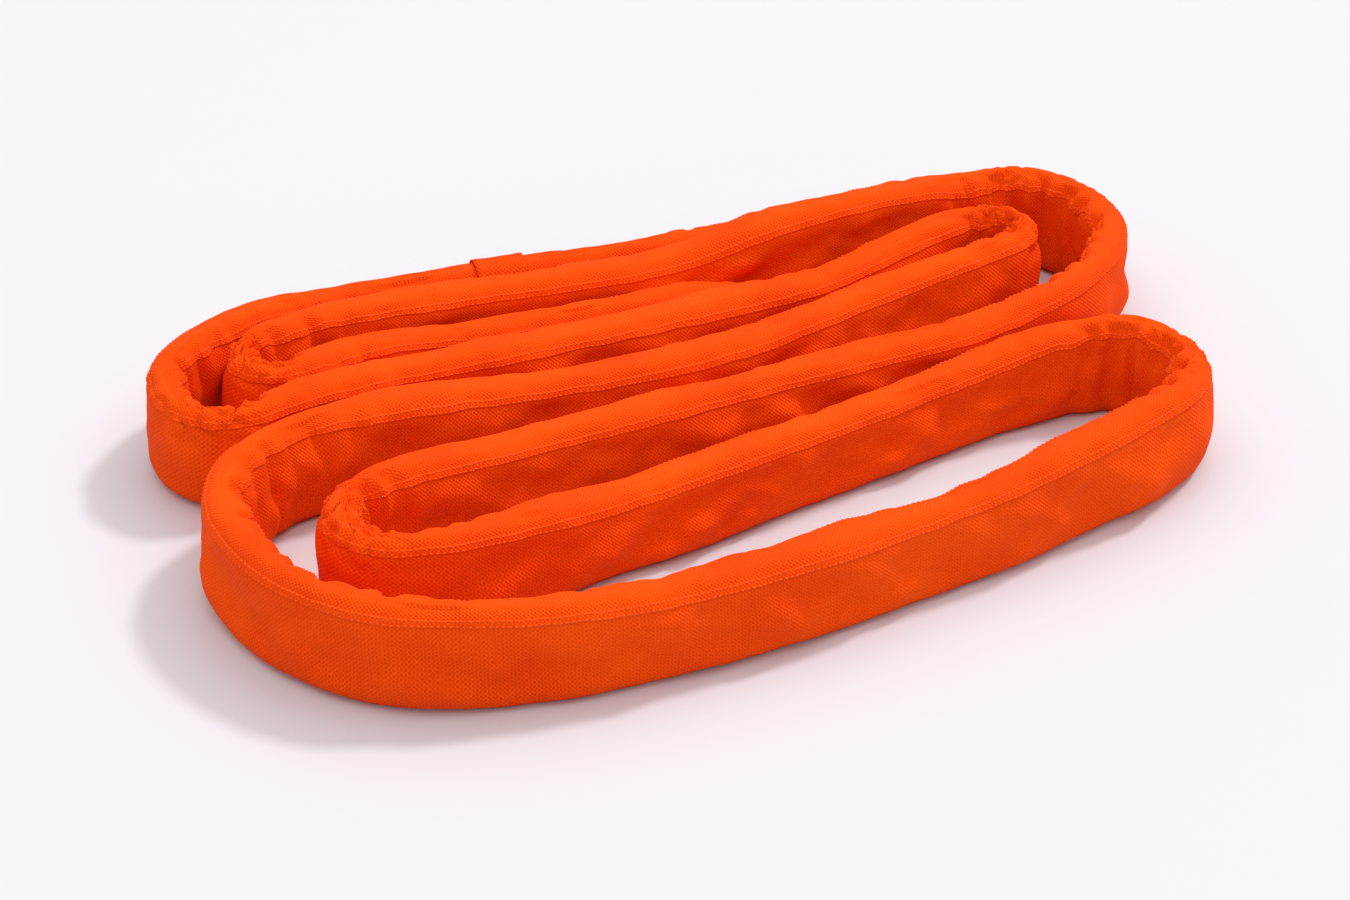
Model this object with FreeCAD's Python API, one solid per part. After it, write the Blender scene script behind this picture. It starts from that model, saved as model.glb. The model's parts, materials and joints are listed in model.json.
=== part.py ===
import FreeCAD, Part
import math
import os

# Endless round sling, laid down on edge in four flat turns.
# Millimetres, +Z up. X follows the long runs, Y goes across them.
# The origin is under the middle of the laid sling, on the floor.

# Woven goods
COVER_WALL = 1.4        # outer woven jacket
LINER_WALL = 0.8        # inner woven jacket
LAYER_GAP = 0.2         # room between one layer and the next
CORNER_RADIUS = 7.0     # rounding of the jacket's long edges
SEAM_WIDTH = 7.0        # flat-felled seam along each upper edge
SEAM_THICKNESS = 1.0
SEAM_INSET = 9.0        # jacket side to the middle of the seam
THREAD_WIDTH = 0.9      # row of lock stitches, drawn as one line
THREAD_HEIGHT = 0.5
THREAD_FROM_SEAM = 2.2  # seam middle to the stitch row

# Load core: hanks of parallel yarn, one above the other
HANK_ROWS = 5
HANK_GAP = 0.5          # between one hank and its neighbour
HANK_ROUNDING = 0.3     # corner radius as a share of the hank's height
TIE_THICKNESS = 0.6     # yarn ties around the whole core
TIE_LENGTH = 9.0
TIE_RUNS = (10, 19, 34, 45, 56, 69, 81)   # runs of the route that carry a tie
TAPE_THICKNESS = 0.2    # tape over the spliced yarn ends, on one hank
TAPE_LENGTH = 40.0

# Closure, where the two ends of the jacket meet
CUFF_LENGTH = 44.0
CUFF_WALL = 1.2
CUFF_CLEARANCE = 0.2    # seam stitches to the cuff
CUFF_ROOM = SEAM_THICKNESS + THREAD_HEIGHT + CUFF_CLEARANCE    # jacket face to the cuff
CUFF_SHARE = 0.26       # place of the cuff's middle along its straight
CUFF_STITCH_INSET = 5.0 # cuff's end to its row of stitches

# Identification label on the back of the rear run
LABEL_LENGTH = 46.0
LABEL_SHARE = 0.74      # place of the label's middle along the same straight
LABEL_DROP = 39.0
LABEL_THICKNESS = 1.4
LABEL_HINGE_HEIGHT = 49.0
LABEL_CLEARANCE = 0.6   # jacket face to the label
LABEL_STAND_OFF = LABEL_THICKNESS / 2 + LABEL_CLEARANCE    # jacket face to the middle of the label's bead
TAB_HEIGHT = 6.0
TAB_THICKNESS = 1.2
TAB_CLEARANCE = 0.3     # label's bead to the tab
TAB_ABOVE_HINGE = LABEL_THICKNESS / 2 + TAB_CLEARANCE
TAB_STITCHES = 9
TAB_STITCH_LENGTH = 2.6

# Sections of the jacket: width across, height, underside above the floor
STAND = (36.0, 83.0, 0.0)    # on edge, through a bend
FOLD = (33.0, 82.0, 0.0)     # through a tight fold
EASE = (38.0, 78.0, 0.0)     # between a bend and a run
REST = (40.0, 73.0, 0.0)     # middle of a run
SLUMP = (40.0, 67.0, 0.0)    # run that has settled
WEDGE = (31.0, 63.0, 0.0)    # hidden run, held between two others
REAR = (34.0, 61.0, 0.0)     # rearmost run
FLAT = (43.0, 26.0, 0.0)     # pressed flat at the crossing
PINCH = (30.0, 25.0, 0.0)    # where the hidden run leaves the crossing
OVER = (38.0, 66.0, 30.0)    # the run that lies over the crossing
CLOSED = (34.0, 61.0, CUFF_ROOM + CUFF_WALL + THREAD_HEIGHT)    # rearmost run, in the cuff

# Route of the sling's middle line, seen from above: x, y and section.
ROUTE = [
    # rear run, going right from the closure
    (58, 210, CLOSED), (143, 206, REAR), (186, 206, REAR),
    # turns forward and passes under the next run
    (217, 203, FLAT), (240, 175, FLAT), (228, 143, FLAT), (187, 134, PINCH),
    # hidden run, going left
    (153, 125, PINCH), (82, 126, WEDGE), (-23, 139, WEDGE), (-127, 155, REAR), (-199, 154, EASE),
    # inner bend, rear left
    (-251, 152, EASE), (-293, 137, FOLD), (-318, 151, FOLD), (-314, 182, FOLD), (-284, 198, FOLD),
    # run over the crossing, going right
    (-227, 210, EASE), (-137, 205, REST), (-32, 183, REST), (60, 169, REST), (143, 157, OVER),
    (265, 155, OVER), (325, 163, EASE),
    # outer bend, rear right
    (367, 154, STAND), (395, 124, STAND), (405, 86, STAND), (396, 47, STAND), (371, 15, STAND),
    (333, -12, STAND),
    # run, going left
    (279, -28, EASE), (200, -34, REST), (101, -28, REST), (-13, -25, REST), (-127, -23, REST),
    (-213, -28, EASE),
    # inner bend, front left
    (-272, -31, STAND), (-314, -41, STAND), (-336, -71, STAND), (-325, -105, STAND), (-289, -123, STAND),
    # run, going right
    (-232, -124, EASE), (-137, -111, SLUMP), (-23, -101, SLUMP), (82, -90, SLUMP), (172, -78, SLUMP),
    (236, -74, REST),
    # bend, front right
    (283, -78, EASE), (317, -95, STAND), (335, -128, STAND), (332, -166, STAND), (308, -195, STAND),
    # front run, going left
    (260, -212, STAND), (181, -225, EASE), (82, -238, REST), (-32, -245, REST), (-137, -243, REST),
    (-227, -235, EASE),
    # outer bend, front left
    (-298, -215, STAND), (-354, -180, STAND), (-390, -129, STAND), (-404, -71, STAND),
    (-401, -15, STAND), (-380, 26, STAND), (-341, 54, STAND), (-294, 63, STAND),
    # run, going right
    (-203, 56, EASE), (-99, 40, REST), (20, 27, REST), (120, 43, REST), (200, 50, EASE),
    (267, 52, STAND),
    # tight fold, right
    (318, 60, FOLD), (336, 84, FOLD), (318, 108, FOLD),
    # run, going left
    (267, 105, STAND), (200, 96, EASE), (143, 87, REST), (48, 91, REST), (-70, 100, REST),
    (-165, 109, REST), (-237, 108, EASE),
    # outer bend, rear left
    (-298, 101, STAND), (-344, 91, STAND), (-372, 106, STAND), (-385, 137, STAND), (-380, 173, STAND),
    (-357, 200, STAND), (-324, 223, EASE),
    # rear run, going right, back to the closure
    (-272, 242, EASE), (-203, 250, REAR), (-118, 242, CLOSED),
]
CLOSURE_RUN = len(ROUTE) - 1

ARC_SHARE = 0.45        # share of the shorter run that an arc takes up
FACET_TURN = 12.0       # most degrees that one facet turns where the section changes
SPAN_TURN = 32.0        # most degrees that one solid of the jacket turns
SPAN_LENGTH = 190.0     # most length that one solid of the jacket has


def unit(dx, dy):
    length = math.hypot(dx, dy)
    return dx / length, dy / length


def blend(first, second, share):
    return tuple(a + share * (b - a) for a, b in zip(first, second))


def bends():
    """One tangent arc per route point, with the jacket's section at its start, middle and end."""
    result = []
    count = len(ROUTE)
    for index in range(count):
        before = ROUTE[index - 1]
        here = ROUTE[index]
        after = ROUTE[(index + 1) % count]
        run_in = math.hypot(here[0] - before[0], here[1] - before[1])
        run_out = math.hypot(after[0] - here[0], after[1] - here[1])
        into = unit(here[0] - before[0], here[1] - before[1])
        out = unit(after[0] - here[0], after[1] - here[1])
        turn = math.atan2(into[0] * out[1] - into[1] * out[0], into[0] * out[0] + into[1] * out[1])
        cut = ARC_SHARE * min(run_in, run_out)
        reach = math.copysign(cut / math.tan(abs(turn) / 2), turn)
        start = (here[0] - into[0] * cut, here[1] - into[1] * cut)
        result.append({
            "start": start,
            "end": (here[0] + out[0] * cut, here[1] + out[1] * cut),
            "centre": (start[0] - into[1] * reach, start[1] + into[0] * reach),
            "radius": abs(reach), "turn": turn, "into": into, "out": out,
            "section_in": blend(here[2], before[2], cut / run_in),
            "section": here[2],
            "section_out": blend(here[2], after[2], cut / run_out),
        })
    return result


BENDS = bends()


def turned(vector, angle):
    cosine = math.cos(angle)
    sine = math.sin(angle)
    return vector[0] * cosine - vector[1] * sine, vector[0] * sine + vector[1] * cosine


def bend_stations(bend):
    """Places, headings and sections around an arc whose section changes."""
    facets = 2 * max(1, math.ceil(abs(math.degrees(bend["turn"])) / FACET_TURN / 2))
    spoke = (bend["start"][0] - bend["centre"][0], bend["start"][1] - bend["centre"][1])
    stations = []
    for step in range(facets + 1):
        share = step / facets
        angle = bend["turn"] * share
        arm = turned(spoke, angle)
        if share < 0.5:
            section = blend(bend["section_in"], bend["section"], 2 * share)
        else:
            section = blend(bend["section"], bend["section_out"], 2 * share - 1)
        place = (bend["centre"][0] + arm[0], bend["centre"][1] + arm[1])
        stations.append((place, turned(bend["into"], angle), section))
    return stations


def frame_point(place, heading, across, up):
    """A point across and above a place on the route; across is positive to the left."""
    return FreeCAD.Vector(place[0] - heading[1] * across, place[1] + heading[0] * across, up)


def rounded_wire(place, heading, left, right, low, high, radius):
    """Upright rounded rectangle square to the route."""
    slant = radius * (1 - math.sqrt(0.5))
    corners = [
        ((left - radius, low), (left - slant, low + slant), (left, low + radius)),
        ((left, high - radius), (left - slant, high - slant), (left - radius, high)),
        ((right + radius, high), (right + slant, high - slant), (right, high - radius)),
        ((right, low + radius), (right + slant, low + slant), (right + radius, low)),
    ]
    edges = []
    for index, corner in enumerate(corners):
        first, middle, last = [frame_point(place, heading, a, u) for a, u in corner]
        following = frame_point(place, heading, *corners[(index + 1) % 4][0])
        edges.append(Part.Arc(first, middle, last).toShape())
        edges.append(Part.LineSegment(last, following).toShape())
    return Part.Wire(edges)


def layer_wire(place, heading, section, depth, radius):
    """A layer's outline, depth inside the jacket's outer face."""
    width, height, base = section
    half = width / 2 - depth
    return rounded_wire(place, heading, half, -half, base + depth, base + height - depth, radius)


def loft(stations, wire_at):
    return Part.makeLoft([wire_at(*station) for station in stations], True, True)


def sewn(faces):
    """One closed solid from faces that meet edge to edge."""
    skin = Part.makeCompound(faces)
    skin.sewShape()
    solid = Part.Solid(skin.Shells[0])
    if solid.Volume < 0:
        solid.reverse()
    return solid


def bend_faces(bend, wire_at):
    """Side faces around one arc: turned where the section is constant, lofted where it changes."""
    if bend["section_in"] == bend["section"] == bend["section_out"]:
        wire = wire_at(bend["start"], bend["into"], bend["section"])
        centre = FreeCAD.Vector(bend["centre"][0], bend["centre"][1], 0)
        return wire.revolve(centre, FreeCAD.Vector(0, 0, 1), math.degrees(bend["turn"])).Faces
    return Part.makeLoft([wire_at(*station) for station in bend_stations(bend)], False, True).Faces


def run_stations(index):
    """The two ends of the straight after a route point."""
    here = BENDS[index]
    after = BENDS[(index + 1) % len(BENDS)]
    return [(here["end"], here["out"], here["section_out"]),
            (after["start"], here["out"], after["section_in"])]


def span_faces(indices, wire_at):
    """Side faces of the arcs at some route points and of the straights after them."""
    faces = []
    for index in indices:
        faces.extend(bend_faces(BENDS[index], wire_at))
        straight = [wire_at(*station) for station in run_stations(index)]
        faces.extend(Part.makeLoft(straight, False, True).Faces)
    return faces


def whole_loop(wire_at):
    """One closed loop of a constant make-up, as one solid."""
    return sewn(span_faces(range(len(BENDS)), wire_at))


def spans():
    """Groups of route points, each short and straight enough to be one solid."""
    groups = [[]]
    turn = 0.0
    length = 0.0
    for index, bend in enumerate(BENDS):
        step_turn = abs(math.degrees(bend["turn"]))
        ends = run_stations(index)
        step_length = abs(bend["turn"]) * bend["radius"] + math.dist(ends[0][0], ends[1][0])
        if groups[-1] and (turn + step_turn > SPAN_TURN or length + step_length > SPAN_LENGTH):
            groups.append([])
            turn = 0.0
            length = 0.0
        groups[-1].append(index)
        turn += step_turn
        length += step_length
    return groups


def jacket(depth, wall, radius):
    """A woven tube, as a row of hollow solids that meet end to end."""
    def outer(place, heading, section):
        return layer_wire(place, heading, section, depth, radius)

    def inner(place, heading, section):
        return layer_wire(place, heading, section, depth + wall, radius - wall)

    solids = []
    for group in spans():
        first = BENDS[group[0]]
        ends = ((first["start"], first["into"], first["section_in"]), run_stations(group[-1])[1])
        rims = [Part.makeFace([outer(*end), inner(*end)], "Part::FaceMakerBullseye") for end in ends]
        solids.append(sewn(span_faces(group, outer) + span_faces(group, inner) + rims))
    return solids


def core_depth():
    return COVER_WALL + LINER_WALL + TIE_THICKNESS + 3 * LAYER_GAP


def hank_wire(place, heading, section, row, grow=0.0):
    """Outline of one hank, row rows above the bottom one."""
    width, height, base = section
    half = width / 2 - core_depth() + grow
    cell = (height - 2 * core_depth() - (HANK_ROWS - 1) * HANK_GAP) / HANK_ROWS
    low = base + core_depth() + row * (cell + HANK_GAP)
    radius = HANK_ROUNDING * cell
    return rounded_wire(place, heading, half, -half, low - grow, low + cell + grow, radius)


def strip_wire(place, heading, section, middle, width, low, thickness):
    """Flat strip on top of the jacket, as a rectangle square to the route."""
    floor = section[1] + section[2] + low
    corners = ((-1, 0), (1, 0), (1, 1), (-1, 1), (-1, 0))
    return Part.makePolygon([frame_point(place, heading, middle + side * width / 2, floor + up * thickness)
                             for side, up in corners])


def seam_middle(section, side):
    return side * (section[0] / 2 - SEAM_INSET)


def seam_band(side):
    return whole_loop(lambda place, heading, section: strip_wire(
        place, heading, section, seam_middle(section, side), SEAM_WIDTH, 0.0, SEAM_THICKNESS))


def seam_thread(side, row):
    """One row of stitches on a seam; row is -1 for the inner one and 1 for the outer one."""
    return whole_loop(lambda place, heading, section: strip_wire(
        place, heading, section, seam_middle(section, side) + side * row * THREAD_FROM_SEAM,
        THREAD_WIDTH, SEAM_THICKNESS, THREAD_HEIGHT))


def along_run(index, share, length):
    """The two ends of a short length of one straight, share of the way along it."""
    first, last = run_stations(index)
    straight = math.dist(first[0], last[0])
    ends = []
    for sign in (-1, 1):
        reach = share + sign * length / 2 / straight
        ends.append((blend(first[0], last[0], reach), first[1], blend(first[2], last[2], reach)))
    return ends


def band(index, share, length, outer_at, inner_at):
    """Short hollow band around a layer, on one straight."""
    ends = along_run(index, share, length)
    return loft(ends, outer_at).cut(loft(ends, inner_at))


def core_ties():
    depth = COVER_WALL + LINER_WALL + 2 * LAYER_GAP
    return [band(index, 0.5, TIE_LENGTH,
                 lambda *end: layer_wire(*end, depth, 4.0),
                 lambda *end: layer_wire(*end, depth + TIE_THICKNESS, 4.0 - TIE_THICKNESS))
            for index in TIE_RUNS]


def yarn_end_tape():
    row = HANK_ROWS - 1
    return band(CLOSURE_RUN, 0.5, TAPE_LENGTH,
                lambda *end: hank_wire(*end, row, TAPE_THICKNESS),
                lambda *end: hank_wire(*end, row))


def cuff_band(share, length, low, high):
    """Band around the jacket and its seams, from low to high above the jacket's face."""
    return band(CLOSURE_RUN, share, length,
                lambda *end: layer_wire(*end, -high, CORNER_RADIUS + high),
                lambda *end: layer_wire(*end, -low, CORNER_RADIUS + low))


def closure_cuff():
    return cuff_band(CUFF_SHARE, CUFF_LENGTH, CUFF_ROOM, CUFF_ROOM + CUFF_WALL)


def closure_stitches():
    """A ring of stitches near each end of the cuff."""
    first, last = run_stations(CLOSURE_RUN)
    reach = (CUFF_LENGTH / 2 - CUFF_STITCH_INSET) / math.dist(first[0], last[0])
    low = CUFF_ROOM + CUFF_WALL
    return [cuff_band(CUFF_SHARE + side * reach, THREAD_WIDTH, low, low + THREAD_HEIGHT) for side in (-1, 1)]


def label_block(share, length, inner, outer, low, high):
    """Upright block against the jacket's rear face, from inner to outer off that face."""
    ends = along_run(CLOSURE_RUN, share, length)
    corners = ((inner, low), (outer, low), (outer, high), (inner, high), (inner, low))
    return loft(ends, lambda place, heading, section: Part.makePolygon(
        [frame_point(place, heading, section[0] / 2 + off, up) for off, up in corners]))


def label_hinge():
    """The two ends of the line that the label swings about."""
    return [frame_point(place, heading, section[0] / 2 + LABEL_STAND_OFF, LABEL_HINGE_HEIGHT)
            for place, heading, section in along_run(CLOSURE_RUN, LABEL_SHARE, LABEL_LENGTH)]


def label_flap():
    half = LABEL_THICKNESS / 2
    plate = label_block(LABEL_SHARE, LABEL_LENGTH, LABEL_STAND_OFF - half, LABEL_STAND_OFF + half,
                        LABEL_HINGE_HEIGHT - LABEL_DROP, LABEL_HINGE_HEIGHT)
    first, last = label_hinge()
    bead = Part.makeCylinder(half, LABEL_LENGTH, first, last - first)
    return plate.fuse(bead)


def label_tab():
    low = LABEL_HINGE_HEIGHT + TAB_ABOVE_HINGE
    return label_block(LABEL_SHARE, LABEL_LENGTH, 0.0, TAB_THICKNESS, low, low + TAB_HEIGHT)


def label_tab_stitches():
    first, last = run_stations(CLOSURE_RUN)
    straight = math.dist(first[0], last[0])
    pitch = LABEL_LENGTH / TAB_STITCHES / straight
    low = LABEL_HINGE_HEIGHT + TAB_ABOVE_HINGE + TAB_HEIGHT / 2
    return [label_block(LABEL_SHARE + (number - (TAB_STITCHES - 1) / 2) * pitch, TAB_STITCH_LENGTH,
                        TAB_THICKNESS, TAB_THICKNESS + THREAD_HEIGHT, low, low + THREAD_WIDTH)
            for number in range(TAB_STITCHES)]


def write(name, shape):
    if isinstance(shape, list):
        shape = Part.makeCompound(shape)
    shape.exportStep(f"parts/{name}.step")
    print(f"{name}: {len(shape.Solids)} solids, {shape.Volume / 1000:.1f} cm3, valid {shape.isValid()}")


def report():
    """Prints what the route's rules ask for: arcs, length, and volume against length."""
    print("arc radii", " ".join(f"{bend['radius']:.0f}" for bend in BENDS))
    length = sum(abs(bend["turn"]) * bend["radius"] for bend in BENDS)
    expected = 0.0
    for index, bend in enumerate(BENDS):
        first, last = run_stations(index)
        straight = math.dist(first[0], last[0])
        length += straight
        area = Part.Face(layer_wire(*first, 0.0, CORNER_RADIUS)).Area
        after = Part.Face(layer_wire(*last, 0.0, CORNER_RADIUS)).Area
        around = Part.Face(layer_wire(bend["start"], bend["into"], bend["section"], 0.0, CORNER_RADIUS)).Area
        expected += straight * (area + after) / 2 + abs(bend["turn"]) * bend["radius"] * around
    solid = whole_loop(lambda *station: layer_wire(*station, 0.0, CORNER_RADIUS))
    print(f"route {length:.0f} mm, jacket volume {solid.Volume / 1000:.0f} cm3, "
          f"section times length {expected / 1000:.0f} cm3")
    hinge = label_hinge()
    print("label hinge from", hinge[0], "to", hinge[1])


def main():
    os.makedirs("parts", exist_ok=True)
    write("outer_cover", jacket(0.0, COVER_WALL, CORNER_RADIUS))
    liner_depth = COVER_WALL + LAYER_GAP
    write("inner_cover", jacket(liner_depth, LINER_WALL, CORNER_RADIUS - liner_depth))
    for row in range(HANK_ROWS):
        write(f"core_hank_{row + 1}",
              whole_loop(lambda place, heading, section: hank_wire(place, heading, section, row)))
    write("core_ties", core_ties())
    write("yarn_end_tape", yarn_end_tape())
    for name, side in (("left", 1), ("right", -1)):
        write(f"{name}_seam_band", seam_band(side))
        write(f"{name}_seam_outer_thread", seam_thread(side, 1))
        write(f"{name}_seam_inner_thread", seam_thread(side, -1))
    write("closure_cuff", closure_cuff())
    write("closure_stitches", closure_stitches())
    write("label_tab", label_tab())
    write("label_tab_stitches", label_tab_stitches())
    write("label_flap", label_flap())
    report()


main()
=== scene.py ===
"""Looks of an endless round sling that lies folded on its edge, built around its CAD frame.

Metres throughout, +Z up. X follows the long runs and Y goes across them.
"""

import json
import logging
import math
from dataclasses import dataclass, field
from enum import Enum

import bpy
import numpy as np
from mathutils import Matrix, Vector, noise

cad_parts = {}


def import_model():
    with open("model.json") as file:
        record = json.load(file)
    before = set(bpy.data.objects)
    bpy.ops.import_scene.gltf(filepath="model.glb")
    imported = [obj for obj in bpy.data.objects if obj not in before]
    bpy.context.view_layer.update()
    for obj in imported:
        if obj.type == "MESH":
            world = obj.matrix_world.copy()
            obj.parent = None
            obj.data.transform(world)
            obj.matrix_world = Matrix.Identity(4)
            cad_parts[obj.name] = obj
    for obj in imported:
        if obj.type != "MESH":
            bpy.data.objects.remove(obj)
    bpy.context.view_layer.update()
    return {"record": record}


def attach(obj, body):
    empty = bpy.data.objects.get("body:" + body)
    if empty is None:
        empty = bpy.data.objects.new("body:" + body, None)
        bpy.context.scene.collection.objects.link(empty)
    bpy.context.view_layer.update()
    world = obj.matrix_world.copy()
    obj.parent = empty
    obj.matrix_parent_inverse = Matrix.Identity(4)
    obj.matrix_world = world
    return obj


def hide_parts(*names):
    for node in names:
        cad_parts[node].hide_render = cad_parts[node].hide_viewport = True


LOG = logging.getLogger("round_sling")
LABEL_RUN_SHARE = 0.74

Stop = tuple[float, float, "Lay"]
Grid = np.ndarray
Colour = tuple[float, float, float]
Inputs = dict[str | int, object]


class Lay(Enum):
    """How the jacket lies: width across, height, and underside above the floor."""

    STAND = (0.036, 0.083, 0.0)      # on edge, through a bend
    FOLD = (0.033, 0.082, 0.0)       # through a tight fold
    EASE = (0.038, 0.078, 0.0)       # between a bend and a run
    REST = (0.040, 0.073, 0.0)       # middle of a run
    SLUMP = (0.040, 0.067, 0.0)      # run that has settled
    WEDGE = (0.031, 0.063, 0.0)      # hidden run, held between two others
    REAR = (0.034, 0.061, 0.0)       # rearmost run
    FLAT = (0.043, 0.026, 0.0)       # pressed flat at the crossing
    PINCH = (0.030, 0.025, 0.0)      # where the hidden run leaves the crossing
    OVER = (0.038, 0.066, 0.030)     # the run that lies over the crossing
    CLOSED = (0.034, 0.061, 0.0034)  # rearmost run, in the cuff


class Side(Enum):
    """The jacket's two sides, as seen by someone walking along the route."""

    LEFT = 1
    RIGHT = -1


ROUTE: list[Stop] = [
    # rear run, going right from the closure
    (0.058, 0.210, Lay.CLOSED), (0.143, 0.206, Lay.REAR), (0.186, 0.206, Lay.REAR),
    # turns forward and passes under the next run
    (0.217, 0.203, Lay.FLAT), (0.240, 0.175, Lay.FLAT), (0.228, 0.143, Lay.FLAT),
    (0.187, 0.134, Lay.PINCH),
    # hidden run, going left
    (0.153, 0.125, Lay.PINCH), (0.082, 0.126, Lay.WEDGE), (-0.023, 0.139, Lay.WEDGE),
    (-0.127, 0.155, Lay.REAR), (-0.199, 0.154, Lay.EASE),
    # inner bend, rear left
    (-0.251, 0.152, Lay.EASE), (-0.293, 0.137, Lay.FOLD), (-0.318, 0.151, Lay.FOLD),
    (-0.314, 0.182, Lay.FOLD), (-0.284, 0.198, Lay.FOLD),
    # run over the crossing, going right
    (-0.227, 0.210, Lay.EASE), (-0.137, 0.205, Lay.REST), (-0.032, 0.183, Lay.REST),
    (0.060, 0.169, Lay.REST), (0.143, 0.157, Lay.OVER), (0.265, 0.155, Lay.OVER),
    (0.325, 0.163, Lay.EASE),
    # outer bend, rear right
    (0.367, 0.154, Lay.STAND), (0.395, 0.124, Lay.STAND), (0.405, 0.086, Lay.STAND),
    (0.396, 0.047, Lay.STAND), (0.371, 0.015, Lay.STAND), (0.333, -0.012, Lay.STAND),
    # run, going left
    (0.279, -0.028, Lay.EASE), (0.200, -0.034, Lay.REST), (0.101, -0.028, Lay.REST),
    (-0.013, -0.025, Lay.REST), (-0.127, -0.023, Lay.REST), (-0.213, -0.028, Lay.EASE),
    # inner bend, front left
    (-0.272, -0.031, Lay.STAND), (-0.314, -0.041, Lay.STAND), (-0.336, -0.071, Lay.STAND),
    (-0.325, -0.105, Lay.STAND), (-0.289, -0.123, Lay.STAND),
    # run, going right
    (-0.232, -0.124, Lay.EASE), (-0.137, -0.111, Lay.SLUMP), (-0.023, -0.101, Lay.SLUMP),
    (0.082, -0.090, Lay.SLUMP), (0.172, -0.078, Lay.SLUMP), (0.236, -0.074, Lay.REST),
    # bend, front right
    (0.283, -0.078, Lay.EASE), (0.317, -0.095, Lay.STAND), (0.335, -0.128, Lay.STAND),
    (0.332, -0.166, Lay.STAND), (0.308, -0.195, Lay.STAND),
    # front run, going left
    (0.260, -0.212, Lay.STAND), (0.181, -0.225, Lay.EASE), (0.082, -0.238, Lay.REST),
    (-0.032, -0.245, Lay.REST), (-0.137, -0.243, Lay.REST), (-0.227, -0.235, Lay.EASE),
    # outer bend, front left
    (-0.298, -0.215, Lay.STAND), (-0.354, -0.180, Lay.STAND), (-0.390, -0.129, Lay.STAND),
    (-0.404, -0.071, Lay.STAND), (-0.401, -0.015, Lay.STAND), (-0.380, 0.026, Lay.STAND),
    (-0.341, 0.054, Lay.STAND), (-0.294, 0.063, Lay.STAND),
    # run, going right
    (-0.203, 0.056, Lay.EASE), (-0.099, 0.040, Lay.REST), (0.020, 0.027, Lay.REST),
    (0.120, 0.043, Lay.REST), (0.200, 0.050, Lay.EASE), (0.267, 0.052, Lay.STAND),
    # tight fold, right
    (0.318, 0.060, Lay.FOLD), (0.336, 0.084, Lay.FOLD), (0.318, 0.108, Lay.FOLD),
    # run, going left
    (0.267, 0.105, Lay.STAND), (0.200, 0.096, Lay.EASE), (0.143, 0.087, Lay.REST),
    (0.048, 0.091, Lay.REST), (-0.070, 0.100, Lay.REST), (-0.165, 0.109, Lay.REST),
    (-0.237, 0.108, Lay.EASE),
    # outer bend, rear left
    (-0.298, 0.101, Lay.STAND), (-0.344, 0.091, Lay.STAND), (-0.372, 0.106, Lay.STAND),
    (-0.385, 0.137, Lay.STAND), (-0.380, 0.173, Lay.STAND), (-0.357, 0.200, Lay.STAND),
    (-0.324, 0.223, Lay.EASE),
    # rear run, going right, back to the closure
    (-0.272, 0.242, Lay.EASE), (-0.203, 0.250, Lay.REAR), (-0.118, 0.242, Lay.CLOSED),
]


def smooth_step(low: float, high: float, value: Grid) -> Grid:
    """Rises smoothly from 0 at low to 1 at high.

    Args:
        low: Value where the result is 0.
        high: Value where the result is 1.
        value: Values to look up.

    Returns:
        The eased share of the way from low to high, one for each value.
    """
    share = np.clip((value - low) / (high - low), 0.0, 1.0)
    return share * share * (3.0 - 2.0 * share)


def ripples(along: Grid, around: Grid, seed: float) -> Grid:
    """Smooth random heights over the cloth, the same on every run.

    Args:
        along: Place along the sleeve, in ripple lengths.
        around: Place around the sleeve, in ripple widths.
        seed: Depth in the random field, which picks the pattern.

    Returns:
        One height for each place, from about -1 to 1.
    """
    along, around = np.broadcast_arrays(along, around)
    flat = [noise.noise((a, b, seed)) for a, b in zip(along.ravel(), around.ravel())]
    return np.array(flat).reshape(along.shape)


def curve_line(name: str, controls: list[tuple[float, float, float]]) -> Grid:
    """Points along the smooth NURBS curve that the control points pull.

    Args:
        name: Name of the working curve.
        controls: Control points of one open spline.

    Returns:
        Rows of x, y, z along the curve.
    """
    curve = bpy.data.curves.new(name, "CURVE")
    curve.dimensions = "3D"
    spline = curve.splines.new("NURBS")
    spline.points.add(len(controls) - 1)
    for point, place in zip(spline.points, controls):
        point.co = (*place, 1.0)
    spline.order_u = 3
    spline.use_endpoint_u = True
    spline.resolution_u = 14
    holder = bpy.data.objects.new(name, curve)
    mesh = bpy.data.meshes.new_from_object(holder)
    line = np.array([vertex.co[:] for vertex in mesh.vertices])
    bpy.data.objects.remove(holder)
    bpy.data.curves.remove(curve)
    bpy.data.meshes.remove(mesh)
    return line


def unit_rows(rows: Grid) -> Grid:
    """Each row scaled to a length of one."""
    return rows / np.linalg.norm(rows, axis=-1, keepdims=True)


def finished(name: str, mesh: bpy.types.Mesh, material: bpy.types.Material) -> bpy.types.Object:
    """Links a mesh as a smooth shaded object with one material.

    Args:
        name: Name of the new object.
        mesh: Its mesh, with its place in its vertices.
        material: Finish of the whole piece.

    Returns:
        The new object.
    """
    mesh.materials.append(material)
    mesh.shade_smooth()
    piece = bpy.data.objects.new(name, mesh)
    bpy.context.scene.collection.objects.link(piece)
    return piece


def claim(piece: bpy.types.Object, node: str, body: str = "sling") -> bpy.types.Object:
    """Ties a piece to its body and hides the CAD node that it replaces.

    Args:
        piece: The finished piece.
        node: CAD node that it replaces.
        body: Body that it rides on.

    Returns:
        The same piece.
    """
    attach(piece, body)
    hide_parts(node)
    return piece


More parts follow.
